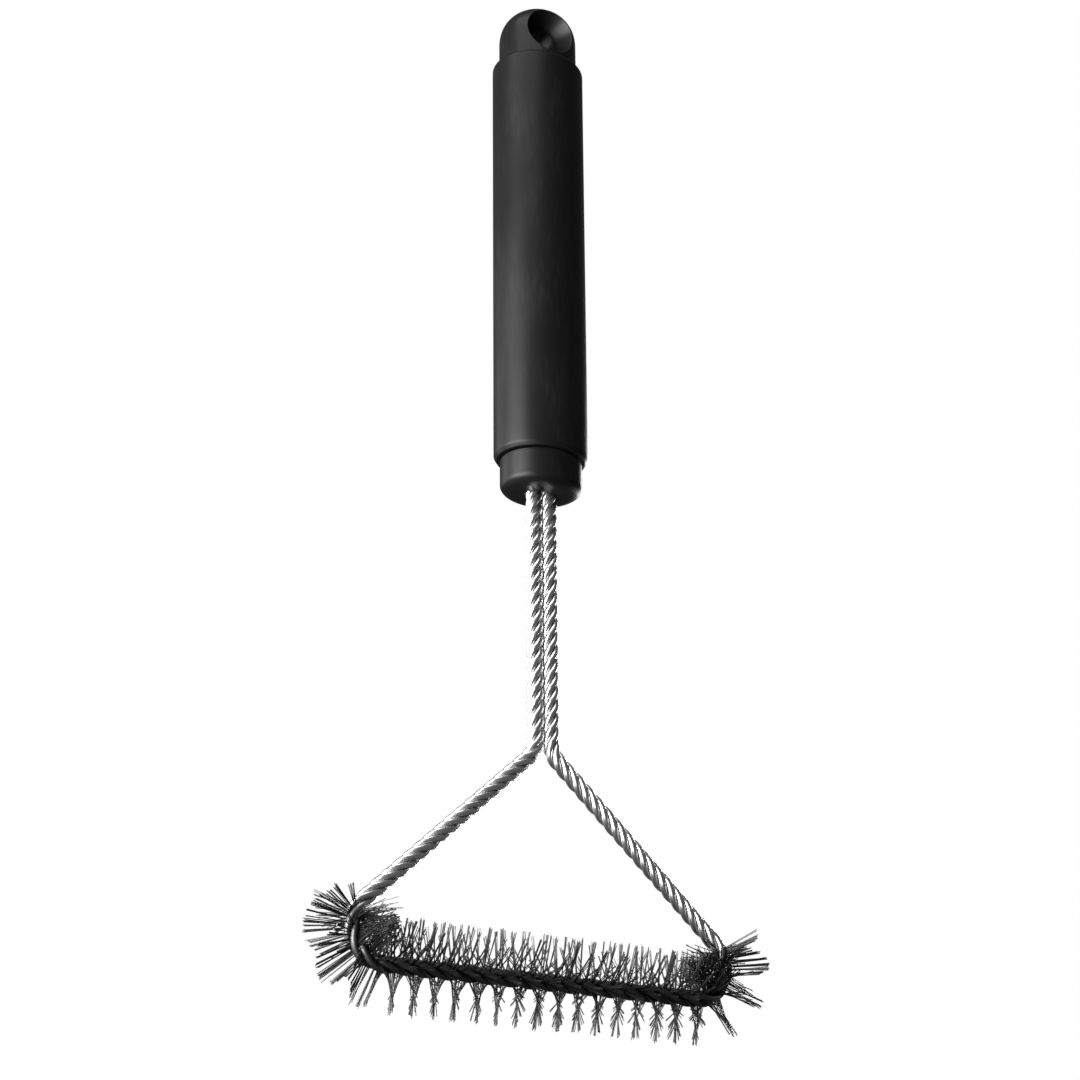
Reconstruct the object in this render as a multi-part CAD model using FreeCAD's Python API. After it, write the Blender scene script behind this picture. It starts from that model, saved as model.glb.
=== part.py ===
"""Three-sided grill cleaning brush with a twisted wire frame, in millimetres.

The frame of reference has its origin at the centre of the hang hole. +Z runs up the handle to
its domed end, X runs along the bristled bar, and the flat of the wire frame lies in the XZ plane.
"""
import FreeCAD, Part
import math
import os

from FreeCAD import Vector

# Handle, measured along Z from the hang hole
HOLE_RADIUS = 4.5
HOLE_WALL = 7.7                 # length of the hole's straight wall, along Y
DISH_FLOOR_RADIUS = 4.8         # where the dish on each face meets the hole
DISH_MOUTH_RADIUS = 10.0        # where the dish breaks out of the cap
CAP_TOP = 11.7
CAP_DOME_HEIGHT = 12.5
CAP_DOME_FULLNESS = 2.25        # exponent of the dome's profile; 2 is an ellipse
CAP_DOME_POINTS = 16
CAP_HALF_WIDTH = 12.9
CAP_HALF_DEPTH = 12.5
GRIP_TOP = -10.8
GRIP_LENGTH = 145.7
GRIP_HALF_WIDTH_TOP = 15.4
GRIP_HALF_WIDTH_BOTTOM = 15.0
GRIP_EDGE = 1.3                 # height of the bevel at each end of the grip
GRIP_EDGE_INSET = 0.9
GRIP_WALL = 2.9
OVAL = 0.867                    # depth over width of every oval section in the handle
COLLAR_HALF_WIDTH = 13.0
COLLAR_LENGTH = 11.3
COLLAR_NOSE_HEIGHT = 2.8        # rounded lower end of the collar
COLLAR_NOSE_INSET = 4.6
SPIGOT_LENGTH = 18.0            # plug of the cap and of the collar inside the grip
SPIGOT_GAP = 0.1
CORE_GAP = 0.15

# Twisted rope of four wires
WIRE_COUNT = 4
WIRE_RADIUS = 0.97
HELIX_RADIUS = 1.52             # wire axis to rope axis
ROPE_SPACING = 5.1              # between the two ropes in the shank
LEAD_BARE = 17.2
LEAD_BRUSH = 25.24
LEAD_BLEND = 3.0                # softness of the change between the two leads
LEAD_CHANGE = 2.5               # the lead changes this far past each corner, up the arm
MID_PHASE = math.radians(-10.2) # turn of the first wire at the middle of the bar

# Route of the rope, in the XZ plane
ROPE_END = -97.0                # wire ends inside the handle
APEX_HEIGHT = -251.0
BAR_HEIGHT = -318.6
CORNER_REACH = 73.7             # where the lines of arm and bar would meet
APEX_RADIUS = 8.0
CORNER_RADIUS = 10.0

# Bristles: four helical rows that stand in the grooves between the wires
BRISTLE_REACH = 13.5
BRISTLE_ROOT = 1.95
BRISTLE_THICKNESS = 0.7
BRISTLE_INNER_REACH = 7.4       # on the inside of a corner
BRISTLE_SHORTFALL = 3.0         # the rows stop this far before the end of each corner

# Crimp sleeve round both rope ends
CRIMP_LENGTH = 16.0
CRIMP_WALL = 1.2
ROPE_GAP = 0.12

# Fineness of the helical shapes, per turn
WIRE_STEPS = 8
RING_POINTS = 12
ROW_STEPS = 32

rope_radius = HELIX_RADIUS + WIRE_RADIUS
half_spacing = ROPE_SPACING / 2
grip_bottom = GRIP_TOP - GRIP_LENGTH
collar_bottom = grip_bottom - COLLAR_LENGTH
bore_half_width = GRIP_HALF_WIDTH_BOTTOM - GRIP_WALL


# Route of the rope -------------------------------------------------------------------------

class Route:
    """A chain of straight runs and arcs in the XZ plane, measured from its middle."""

    def __init__(self, start, heading):
        self.pieces = []
        self.length = 0.0
        self.point, self.heading = start, heading

    def run(self, length):
        self.add(length, 0.0)

    def bend(self, radius, turn):
        """Turn left by a positive angle and right by a negative one."""
        self.add(radius * abs(turn), math.copysign(1 / radius, turn))

    def add(self, length, curvature):
        self.pieces.append((self.length, length, curvature, self.point, self.heading))
        self.point, self.heading = self.walk(self.pieces[-1], length)
        self.length += length

    @staticmethod
    def walk(piece, distance):
        _, _, curvature, (x, z), heading = piece
        if curvature == 0.0:
            return (x + distance * math.cos(heading), z + distance * math.sin(heading)), heading
        turned = heading + curvature * distance
        return (x + (math.sin(turned) - math.sin(heading)) / curvature,
                z - (math.cos(turned) - math.cos(heading)) / curvature), turned

    def frame(self, station):
        """Point, normal and binormal at a distance from the middle of the route."""
        distance = station + self.length / 2
        piece = [p for p in self.pieces if p[0] <= distance + 1e-6][-1]
        (x, z), heading = self.walk(piece, distance - piece[0])
        return Vector(x, 0, z), Vector(-math.sin(heading), 0, math.cos(heading)), Vector(0, -1, 0)


arm_slope = math.atan2(APEX_HEIGHT - BAR_HEIGHT, CORNER_REACH - half_spacing)
apex_turn = math.pi / 2 - arm_slope
corner_turn = math.pi - arm_slope
apex_trim = APEX_RADIUS * math.tan(apex_turn / 2)
corner_trim = CORNER_RADIUS * math.tan(corner_turn / 2)
arm_line = math.hypot(APEX_HEIGHT - BAR_HEIGHT, CORNER_REACH - half_spacing)
shank_length = ROPE_END - APEX_HEIGHT - apex_trim
arm_length = arm_line - apex_trim - corner_trim
bar_length = 2 * (CORNER_REACH - corner_trim)

route = Route((-half_spacing, ROPE_END), -math.pi / 2)
route.run(shank_length)
route.bend(APEX_RADIUS, -apex_turn)
route.run(arm_length)
route.bend(CORNER_RADIUS, corner_turn)
route.run(bar_length)
route.bend(CORNER_RADIUS, corner_turn)
route.run(arm_length)
route.bend(APEX_RADIUS, -apex_turn)
route.run(shank_length)

bar_end = bar_length / 2
corner_end = bar_end + CORNER_RADIUS * corner_turn
bristle_end = corner_end - BRISTLE_SHORTFALL
lead_end = corner_end + LEAD_CHANGE
arm_end = corner_end + arm_length + APEX_RADIUS * apex_turn
rope_end = route.length / 2


def slow_length(station):
    """Length of the slower twist between the middle and a station, with a soft end to it."""
    def ramp(x):
        return (x + math.hypot(x, LEAD_BLEND)) / 2
    return ramp(station + lead_end) - ramp(station - lead_end) - lead_end


def phase(station):
    """Turn of the first wire about the rope, a right-handed helix."""
    slow = slow_length(station)
    return MID_PHASE + 2 * math.pi * (slow / LEAD_BRUSH + (station - slow) / LEAD_BARE)


def stations(start, end, steps_per_turn, lead):
    count = math.ceil((end - start) / lead * steps_per_turn)
    return [start + (end - start) * i / count for i in range(count + 1)]


def cross_section(station, turn):
    """Axes of a section square to the rope: out from the rope axis, and round it."""
    centre, normal, binormal = route.frame(station)
    out = normal * math.cos(turn) + binormal * math.sin(turn)
    around = binormal * math.cos(turn) - normal * math.sin(turn)
    return centre, out, around


def closed_solid(faces):
    shell = Part.makeShell(faces)
    shell.sewShape()
    solid = Part.makeSolid(shell)
    if solid.Volume < 0:
        solid.reverse()
    return solid


def twisted_wire(number, start, end):
    """One wire of the rope between two stations: a smooth tube through its oblique sections."""
    rings = []
    for station in stations(start, end, WIRE_STEPS, LEAD_BARE):
        turn = phase(station) + 2 * math.pi * number / WIRE_COUNT
        centre, out, around = cross_section(station, turn)
        rate = (phase(station + 0.1) - phase(station - 0.1)) / 0.2
        middle = centre + out * HELIX_RADIUS
        wide = around * WIRE_RADIUS * math.hypot(1, HELIX_RADIUS * rate)
        high = out * WIRE_RADIUS
        angles = [2 * math.pi * i / RING_POINTS for i in range(RING_POINTS + 1)]
        rings.append([middle + wide * math.cos(a) + high * math.sin(a) for a in angles])
    surface = Part.BSplineSurface()
    surface.interpolate(rings)
    tube = surface.toShape()
    ends = [Part.Face(Part.Wire(edge)) for edge in tube.Edges if edge.isClosed()]
    return closed_solid([tube] + ends)


def bristle_reach(station, turn):
    """Reach of a row of bristles, shorter where it points into the inside of a corner."""
    inward = math.cos(turn) if abs(station) > bar_end else 0.0
    if inward * BRISTLE_REACH <= BRISTLE_INNER_REACH:
        return BRISTLE_REACH
    return BRISTLE_INNER_REACH / inward


def bristle_row(number, start, end):
    """A thin helical web of flat facets that stands for one row of bristles."""
    sections = []
    for station in stations(start, end, ROW_STEPS, LEAD_BRUSH):
        turn = phase(station) + 2 * math.pi * (number + 0.5) / WIRE_COUNT
        centre, out, around = cross_section(station, turn)
        side = around * BRISTLE_THICKNESS / 2
        root, tip = centre + out * BRISTLE_ROOT, centre + out * bristle_reach(station, turn)
        sections.append((root - side, tip - side, tip + side, root + side))
    facets = [sections[0][::-1], sections[-1]]
    for (root, tip, far_tip, far_root), (root_2, tip_2, far_tip_2, far_root_2) in zip(sections, sections[1:]):
        facets += [(root, tip, tip_2), (root, tip_2, root_2)]
        facets += [(far_root, far_tip_2, far_tip), (far_root, far_root_2, far_tip_2)]
        facets += [(tip, far_tip, far_tip_2), (tip, far_tip_2, tip_2)]
        facets += [(far_root, root, root_2), (far_root, root_2, far_root_2)]
    return closed_solid([Part.Face(Part.makePolygon(list(face) + [face[0]])) for face in facets])


# Handle ------------------------------------------------------------------------------------

def oval(half_width, z):
    ellipse = Part.Ellipse(Vector(half_width, 0, z), Vector(0, half_width * OVAL, z), Vector(0, 0, z))
    return Part.Wire(ellipse.toShape())


def oval_solid(*sections):
    """A solid through oval sections, each given as (half width, z), joined straight."""
    return Part.makeLoft([oval(half_width, z) for half_width, z in sections], True, True)


def rope_slot(gap, bottom, top):
    """Space for both ropes side by side, with an even gap round them."""
    radius = rope_radius + gap
    width = ROPE_SPACING
    slot = Part.makeBox(width, 2 * radius, top - bottom, Vector(-width / 2, -radius, bottom))
    for side in (-1, 1):
        slot = slot.fuse(Part.makeCylinder(radius, top - bottom, Vector(side * width / 2, 0, bottom)))
    return slot.removeSplitter()


def domed_body():
    """The outside of the cap: a round body turned from the dome's profile, then made oval."""
    dome_base = CAP_TOP - CAP_DOME_HEIGHT
    profile = []
    for i in range(CAP_DOME_POINTS + 1):
        turn = math.pi / 2 * i / CAP_DOME_POINTS
        across = math.cos(turn) ** (2 / CAP_DOME_FULLNESS) if i < CAP_DOME_POINTS else 0.0
        up = math.sin(turn) ** (2 / CAP_DOME_FULLNESS)
        profile.append(Vector(CAP_HALF_WIDTH * across, 0, dome_base + CAP_DOME_HEIGHT * up))
    dome = Part.BSplineCurve()
    dome.interpolate(Points=profile, InitialTangent=Vector(0, 0, 1), FinalTangent=Vector(-1, 0, 0))
    base, shoulder = Vector(CAP_HALF_WIDTH, 0, GRIP_TOP), profile[0]
    sides = Part.makePolygon([profile[-1], Vector(0, 0, GRIP_TOP), base, shoulder]).Edges
    turned = Part.Face(Part.Wire([dome.toShape()] + sides)).revolve(Vector(), Vector(0, 0, 1), 360)
    flatten = FreeCAD.Matrix()
    flatten.scale(1.0, CAP_HALF_DEPTH / CAP_HALF_WIDTH, 1.0)
    return turned.transformGeometry(flatten)


def hang_cap():
    spigot_half_width = bore_half_width - SPIGOT_GAP
    spigot = oval_solid((spigot_half_width - 0.8, GRIP_TOP - SPIGOT_LENGTH),
                        (spigot_half_width, GRIP_TOP - SPIGOT_LENGTH + 1.5),
                        (spigot_half_width, GRIP_TOP))
    hollow = oval_solid((spigot_half_width - 2.2, GRIP_TOP - SPIGOT_LENGTH - 1),
                        (spigot_half_width - 2.2, GRIP_TOP - 3.0))
    cap = domed_body().fuse(spigot).cut(hollow)
    through = 2 * CAP_HALF_WIDTH
    cap = cap.cut(Part.makeCylinder(HOLE_RADIUS, through, Vector(0, -through / 2, 0), Vector(0, 1, 0)))
    for side in (-1, 1):
        floor = Vector(0, side * HOLE_WALL / 2, 0)
        rise = CAP_HALF_DEPTH - HOLE_WALL / 2
        flare = (DISH_MOUTH_RADIUS - DISH_FLOOR_RADIUS) / rise
        outer = DISH_FLOOR_RADIUS + flare * 2 * rise
        cap = cap.cut(Part.makeCone(DISH_FLOOR_RADIUS, outer, 2 * rise, floor, Vector(0, side, 0)))
    return cap


def grip_sleeve():
    top, bottom = GRIP_HALF_WIDTH_TOP, GRIP_HALF_WIDTH_BOTTOM
    outside = oval_solid((bottom - GRIP_EDGE_INSET, grip_bottom), (bottom, grip_bottom + GRIP_EDGE),
                         (top, GRIP_TOP - GRIP_EDGE), (top - GRIP_EDGE_INSET, GRIP_TOP))
    return outside.cut(oval_solid((bore_half_width, grip_bottom - 1), (bore_half_width, GRIP_TOP + 1)))


def neck_collar():
    nose_sections = []
    for i in range(7):
        angle = math.pi / 2 * i / 6
        inset = COLLAR_NOSE_INSET * (1 - math.sin(angle))
        height = COLLAR_NOSE_HEIGHT * (1 - math.cos(angle))
        nose_sections.append(oval(COLLAR_HALF_WIDTH - inset, collar_bottom + height))
    nose = Part.makeLoft(nose_sections, True, False)
    body = oval_solid((COLLAR_HALF_WIDTH, collar_bottom + COLLAR_NOSE_HEIGHT),
                      (COLLAR_HALF_WIDTH, grip_bottom))
    spigot_half_width = bore_half_width - SPIGOT_GAP
    spigot = oval_solid((spigot_half_width, grip_bottom), (spigot_half_width, grip_bottom + SPIGOT_LENGTH))
    collar = body.fuse([nose, spigot]).removeSplitter()
    return collar.cut(rope_slot(ROPE_GAP, collar_bottom - 1, grip_bottom + SPIGOT_LENGTH + 1))


def crimp_sleeve():
    top, bottom = ROPE_END - 1.0, ROPE_END - 1.0 - CRIMP_LENGTH
    return rope_slot(ROPE_GAP / 2 + CRIMP_WALL, bottom, top).cut(rope_slot(ROPE_GAP / 2, bottom - 1, top + 1))


def core_half(side):
    """Half of the insert that clamps the ropes and the crimp sleeve inside the grip."""
    top, bottom = GRIP_TOP - SPIGOT_LENGTH - CORE_GAP, grip_bottom + SPIGOT_LENGTH + CORE_GAP
    half_width = bore_half_width - SPIGOT_GAP
    block = oval_solid((half_width, bottom), (half_width, top))
    width = 4 * half_width
    keep = Part.makeBox(width, width, top - bottom + 2,
                        Vector(-width / 2, CORE_GAP / 2 if side > 0 else -width - CORE_GAP / 2, bottom - 1))
    block = block.common(keep)
    block = block.cut(rope_slot(ROPE_GAP, bottom - 1, ROPE_END + 1))
    block = block.cut(rope_slot(CRIMP_WALL + ROPE_GAP * 2, ROPE_END - CRIMP_LENGTH - 1.5, ROPE_END + 1))
    lightening = oval_solid((half_width - 3.0, ROPE_END + 8), (half_width - 3.0, top - 3.0))
    return block.cut(lightening)


# Build -------------------------------------------------------------------------------------

segments = {
    "left_shank": (-rope_end, -arm_end),
    "left_arm": (-arm_end, -corner_end),
    "left_corner": (-corner_end, -bar_end),
    "bar": (-bar_end, bar_end),
    "right_corner": (bar_end, corner_end),
    "right_arm": (corner_end, arm_end),
    "right_shank": (arm_end, rope_end),
}
bristled = {
    "left_corner": (-bristle_end, -bar_end),
    "bar": (-bar_end, bar_end),
    "right_corner": (bar_end, bristle_end),
}

nodes = {
    "hang_cap": hang_cap(),
    "grip_sleeve": grip_sleeve(),
    "core_front_half": core_half(-1),
    "core_rear_half": core_half(1),
    "crimp_sleeve": crimp_sleeve(),
    "neck_collar": neck_collar(),
}
for number in range(WIRE_COUNT):
    for name, (start, end) in segments.items():
        nodes[f"wire_{number + 1}_{name}"] = twisted_wire(number, start, end)
    for name, (start, end) in bristled.items():
        nodes[f"bristle_row_{number + 1}_{name}"] = bristle_row(number, start, end)

os.makedirs("parts", exist_ok=True)
for name, shape in nodes.items():
    if not shape.isValid() or len(shape.Solids) != 1:
        print(f"{name}: valid {shape.isValid()}, solids {len(shape.Solids)}")
    shape.exportStep(f"parts/{name}.step")

box = FreeCAD.BoundBox()
for shape in nodes.values():
    box.add(shape.BoundBox)
print(f"{len(nodes)} nodes, box {box}")
print("volume cm3:", {name: round(shape.Volume / 1000, 2) for name, shape in nodes.items()})
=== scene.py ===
"""Grill cleaning brush: a moulded handle on a twisted wire frame whose lower bar carries the bristles.

Every piece is in metres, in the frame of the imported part: the origin is the centre of the hang
hole, +Z runs up the handle, X runs along the bristled bar and the wire frame lies in the XZ plane.
"""
import math

import bmesh
import bpy
from bpy.props import FloatProperty, FloatVectorProperty, IntProperty, PointerProperty
from mathutils import Matrix, Vector


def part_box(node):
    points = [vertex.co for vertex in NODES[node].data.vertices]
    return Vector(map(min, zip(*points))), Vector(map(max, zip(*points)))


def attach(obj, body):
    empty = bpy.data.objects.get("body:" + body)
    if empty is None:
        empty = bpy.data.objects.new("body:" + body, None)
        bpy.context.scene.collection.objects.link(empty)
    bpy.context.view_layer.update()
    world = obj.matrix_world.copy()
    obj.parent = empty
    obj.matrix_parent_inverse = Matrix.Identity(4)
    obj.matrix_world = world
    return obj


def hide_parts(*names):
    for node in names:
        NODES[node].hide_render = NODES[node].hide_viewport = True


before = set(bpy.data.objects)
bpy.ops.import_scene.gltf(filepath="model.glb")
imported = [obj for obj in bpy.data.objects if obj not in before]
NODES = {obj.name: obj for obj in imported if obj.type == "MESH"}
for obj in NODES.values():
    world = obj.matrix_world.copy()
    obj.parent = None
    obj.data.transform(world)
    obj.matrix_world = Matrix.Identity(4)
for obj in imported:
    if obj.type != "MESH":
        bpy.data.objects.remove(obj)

bl_info = {
    "name": "Grill Cleaning Brush",
    "version": (1, 0, 0),
    "blender": (4, 5, 0),
    "location": "3D View > Sidebar > Grill Brush",
    "description": "Builds a grill cleaning brush with a twisted wire head, piece by piece",
    "category": "Add Mesh",
}

MM = 0.001
BODY = "root"

# Sewn meshes: points in a ring, steps along each curve, and what is merged or creased at the end.
RING_POINTS = 128
ARC_STEPS = 6
CAP_BOTTOM_STEPS = 48
CAP_SIDE_STEPS = 10
CAP_DOME_STEPS = 30
CAP_RAY_STEPS = {"roll": 5, "dish": 6, "lip": 8, "face": 26}
NOSE_STEPS = 12
SLOT_EDGE_STEPS = 4
LONGEST_RUN = 4 * MM
MERGE_DISTANCE = 0.001 * MM
SLIVER = 0.0005 * MM
CREASE = math.radians(38)
BISECTIONS = 30

# Small sizes of the cap, the collar and the grip. A taper is (inset, height) at a plug's end, and the
# shoulder is a row of (inset, drop) from the collar's full width at the grip's lower end.
HOLE_ROLL = 0.5 * MM
LIP_BAND = 0.3 * MM
LIP_BLEND = 0.5 * MM
PLUG_WALL = 2.2 * MM
PLUG_FLOOR = 3 * MM
PLUG_TAPER = (0.8 * MM, 1.5 * MM)
COLLAR_TAPER = (0.6 * MM, 0.8 * MM)
COLLAR_SEAT = 0.2 * MM
SHOULDER = ((0.45 * MM, 0.0), (0.35 * MM, 0.15 * MM), (0.0, 0.5 * MM), (0.0, 0.7 * MM))
NOSE_BAND = 0.2 * MM
SLOT_CLEARANCE = 0.12 * MM
SLOT_EDGE = 0.4 * MM
GRIP_INNER_ARC = 0.2 * MM
GRIP_OUTER_ARC = 0.35 * MM
GRIP_BEVEL_ARC = 1.2 * MM

# Fineness of the rope and the bristles, how far the painted shade on the wire in the brush fades out
# before a corner's end, and where on each half of a row the ruffling sets in and how fast it grows, as
# shares of that half.
WIRE_STEP = 0.45 * MM
WIRE_SIDES = 14
ROW_STEP = 0.5 * MM
BEND_POINTS = 64
BRISTLE_SIDES = 4
BRISTLE_POINTS = 4
BRUSH_SHADE_FADE = 5 * MM
RUFFLE_START = 0.66
RUFFLE_RISE = 12

# Each light: bearing and height angle in degrees, distance and size in metres, and its power's setting.
LIGHTS = {
    "Key light": ((-74, -1), 0.62, (0.58, 0.62), "key_power"),
    "Side light": ((-128, 4), 0.8, (0.6, 0.8), "side_power"),
    "Rim light": ((128, 6), 0.9, (0.12, 0.7), "rim_power"),
    "Top light": ((-50, 62), 0.6, (0.5, 0.3), "top_power"),
    "Low light": ((-46, -34), 0.8, (0.5, 0.3), "low_power"),
}

# Half the floor's width in metres, and the colour of the surround.
FLOOR_HALF = 6.0
WHITE = (1.0, 1.0, 1.0, 1.0)


# Sizes and colours ---------------------------------------------------------------------------

def length(name, description, millimetres):
    return FloatProperty(name=name, description=description, default=millimetres * MM,
                         subtype="DISTANCE", unit="LENGTH", precision=5)


def angle(name, description, degrees):
    return FloatProperty(name=name, description=description, default=math.radians(degrees),
                         subtype="ANGLE", unit="ROTATION")


def share(name, description, value):
    return FloatProperty(name=name, description=description, default=value, min=0.0, max=1.0,
                         subtype="FACTOR")


def power(name, description, watts):
    return FloatProperty(name=name, description=description, default=watts, subtype="POWER", unit="POWER")


def colour(name, description, value):
    return FloatVectorProperty(name=name, description=description, default=value, size=3,
                               min=0.0, max=1.0, subtype="COLOR")


class RopeSizes(bpy.types.PropertyGroup):
    wire_radius: length("Wire radius", "Half the thickness of one wire", 0.97)
    helix_radius: length("Helix radius", "Wire axis to rope axis", 1.52)
    lead_bare: length("Bare lead", "Length of one turn where the rope is bare", 17.2)
    lead_brush: length("Brush lead", "Length of one turn where the rope holds bristles", 25.24)
    lead_blend: length("Lead blend", "Softness of the change between the leads", 3.0)
    lead_change: length("Lead change", "The lead changes this far past each corner", 2.5)
    start_turn: angle("Start turn", "Turn of the first wire at the middle of the bar", -10.2)
    wire_count: IntProperty(name="Wires", description="Wires in the rope, and rows of bristles",
                            default=4, min=2)
    rope_spacing: length("Rope spacing", "Between the two ropes of the shank", 5.1)
    rope_end: length("Rope end", "Height of the wire ends inside the grip", -97.0)
    apex_height: length("Apex height", "Height where the ropes part", -251.0)
    bar_height: length("Bar height", "Height of the bristled bar", -318.6)
    corner_reach: length("Corner reach", "Half width where the lines of arm and bar meet", 73.7)
    apex_radius: length("Apex bend", "Bend radius where the ropes part", 8.0)
    corner_radius: length("Corner bend", "Bend radius at the ends of the bar", 10.0)


class BristleSizes(bpy.types.PropertyGroup):
    reach: length("Reach", "Rope axis to the bristle tips", 13.5)
    root: length("Root", "Rope axis to the bristle roots", 1.0)
    thickness: length("Thickness", "Diameter of one bristle", 0.29)
    shortfall: length("Shortfall", "How far before the end of each corner the rows stop", 3.0)
    tuft: IntProperty(name="Tuft", description="Bristles that stand together", default=3, min=1)
    per_metre: FloatProperty(name="Tufts per metre", description="Of rope, in one row", default=1500.0)
    crowding: share("Crowding", "How much closer the tufts stand round the corners", 0.25)
    spread: angle("Spread", "Most that a stray tuft turns out of its row", 5.0)
    lean: angle("Lean", "Most that a stray tuft leans along the rope", 5.0)
    fan: angle("Fan", "Even spread of the bristles in their tuft", 0.7)
    ruffle: angle("Ruffle", "Turn of the crowded bristles inside each corner", 30.0)
    bend: length("Bend", "How far a bristle's tip is bent aside", 0.25)
    trim: share("Trim", "Shortest bristle, as a share of the longest", 0.95)
    seed: IntProperty(name="Seed", description="Seed of the bristles' unevenness", default=7)


class HandleSizes(bpy.types.PropertyGroup):
    oval: share("Oval", "Depth over width of every oval section", 0.867)
    hole_radius: length("Hole radius", "Radius of the hang hole", 4.5)
    hole_wall: length("Hole wall", "Straight length of the hang hole", 7.7)
    dish_floor: length("Dish floor", "Radius where the dish meets the hole", 4.8)
    dish_mouth: length("Dish mouth", "Radius of the dish where it reaches the cap's full depth", 10.0)
    cap_half_width: length("Cap half width", "Half width of the end cap", 12.9)
    cap_half_depth: length("Cap half depth", "Half depth of the end cap", 12.5)
    dome_height: length("Dome height", "Height of the cap's dome", 12.5)
    dome_fullness: FloatProperty(name="Dome fullness", default=2.25,
                                 description="Exponent of the dome's profile; 2 is an ellipse")
    grip_half_top: length("Grip top", "Half width of the grip at its top", 15.4)
    grip_half_bottom: length("Grip bottom", "Half width of the grip at its bottom", 15.0)
    grip_edge: length("Grip edge", "Height of the bevel at each end of the grip", 1.3)
    grip_inset: length("Grip inset", "Inset of the bevel at each end of the grip", 0.9)
    grip_wall: length("Grip wall", "Wall thickness of the grip", 2.9)
    collar_half_width: length("Collar half width", "Half width of the neck collar", 13.0)
    nose_height: length("Nose height", "Height of the collar's rounded lower end", 2.8)
    nose_inset: length("Nose inset", "Inset of the collar's flat end face", 4.6)
    gap: length("Gap", "Between a plug and its bore", 0.1)


class Finishes(bpy.types.PropertyGroup):
    plastic: colour("Plastic", "Moulded plastic of the handle", (0.004, 0.004, 0.004))
    plastic_roughness: share("Plastic roughness", "Roughness of the moulded plastic", 0.38)
    core: colour("Core", "Plastic of the insert inside the grip", (0.30, 0.29, 0.27))
    wire: colour("Wire", "Drawn steel of the rope", (0.7, 0.7, 0.7))
    bristle: colour("Bristle", "Hard drawn steel of the bristles", (0.05, 0.05, 0.05))
    crimp: colour("Crimp", "Plated steel of the crimp sleeve", (0.45, 0.44, 0.42))


class StageSizes(bpy.types.PropertyGroup):
    target: FloatVectorProperty(name="Target", description="Point that the camera looks at", size=3,
                                default=(-0.0005, 0.0, -0.18277), subtype="TRANSLATION", unit="LENGTH")
    distance: length("Distance", "From the camera to the target", 697.4)
    azimuth: angle("Azimuth", "Camera's bearing round the brush", -26.81)
    elevation: angle("Elevation", "Camera's height angle; below the brush when negative", -24.28)
    roll: angle("Roll", "Camera's turn about its line of sight", -0.47)
    lens: FloatProperty(name="Lens", description="Focal length of the camera", default=76.37,
                        subtype="DISTANCE_CAMERA", unit="CAMERA")
    floor_drop: length("Floor drop", "Floor below the hang hole", 1250.0)
    key_power: power("Key light", "Power of the large side light", 25.0)
    side_power: power("Side light", "Power of the light behind on the left", 5.0)
    low_power: power("Low light", "Power of the light below on the left", 1.6)
    top_power: power("Top light", "Power of the light above on the left", 1.8)
    rim_power: power("Rim light", "Power of the light behind the brush", 5.0)
    fill: share("Fill", "Even light from all round", 0.1)


SETTINGS = {
    "rope": RopeSizes,
    "bristles": BristleSizes,
    "handle": HandleSizes,
    "finishes": Finishes,
    "stage": StageSizes,
}


class GrillBrush(bpy.types.PropertyGroup):
    __annotations__ = {name: PointerProperty(type=group) for name, group in SETTINGS.items()}


# Node trees ----------------------------------------------------------------------------------

class Value:
    """A node socket that builds Math nodes when it is used in an expression."""

    def __init__(self, tree, socket):
        self.tree = tree
        self.socket = socket

    def math(self, operation, *others):
        return self.tree.math(operation, self, *others)

    def clamped(self):
        return self.math("MAXIMUM", 0.0).math("MINIMUM", 1.0)

    def other(self, name):
        """Another output of the same node."""
        return Value(self.tree, self.socket.node.outputs[name])

    def part(self, axis):
        return self.tree.add("ShaderNodeSeparateXYZ", {}, {0: self}).other(axis)

    def __add__(self, other):
        return self.math("ADD", other)

    __radd__ = __add__

    def __sub__(self, other):
        return self.math("SUBTRACT", other)

    def __rsub__(self, other):
        return self.tree.math("SUBTRACT", other, self)

    def __mul__(self, other):
        return self.math("MULTIPLY", other)

    __rmul__ = __mul__

    def __truediv__(self, other):
        return self.math("DIVIDE", other)

    def __rtruediv__(self, other):
        return self.tree.math("DIVIDE", other, self)

    def __neg__(self):
        return self * -1


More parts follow.
